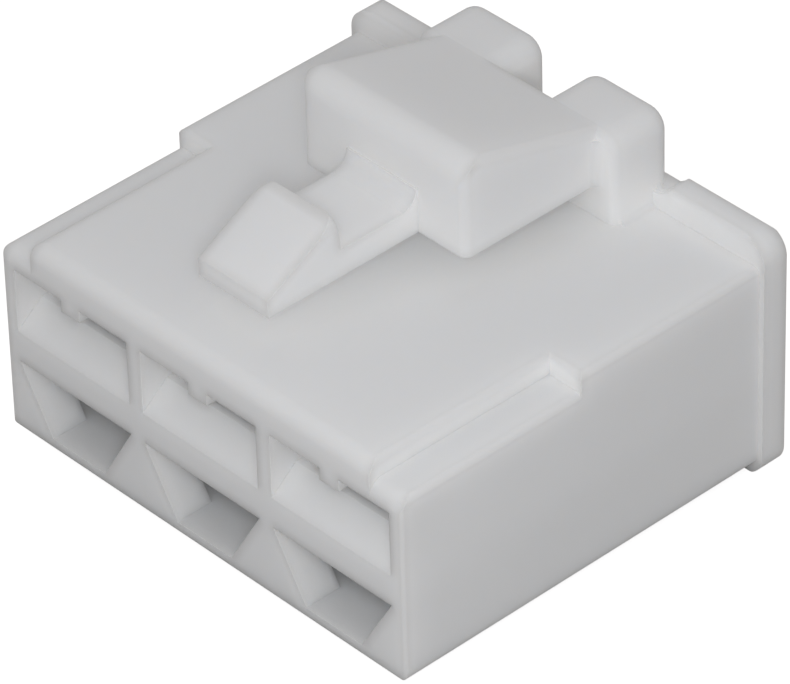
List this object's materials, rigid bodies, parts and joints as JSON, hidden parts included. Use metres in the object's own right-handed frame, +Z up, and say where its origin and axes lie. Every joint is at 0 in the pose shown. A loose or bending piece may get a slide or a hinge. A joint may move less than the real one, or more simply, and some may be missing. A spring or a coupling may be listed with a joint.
{
  "type": "wire to board connector housing",
  "caption": "Nylon wire to board connector housing with contact chambers, a rear flange and a moulded latch with a hooked tongue and press pad.",
  "frame": {"origin": "middle of the box round the part at its lowest level, which is the lower edge of the rear flange", "axes": "+Z up towards the latch, -Y out of the mating face, +X along the row of ways"},
  "size_m": [0.0124, 0.0108, 0.0087],
  "materials": {
    "housing": "satin natural nylon, slightly translucent"
  },
  "bodies": {
    "root": {"housing": "housing"}
  },
  "joints": []
}
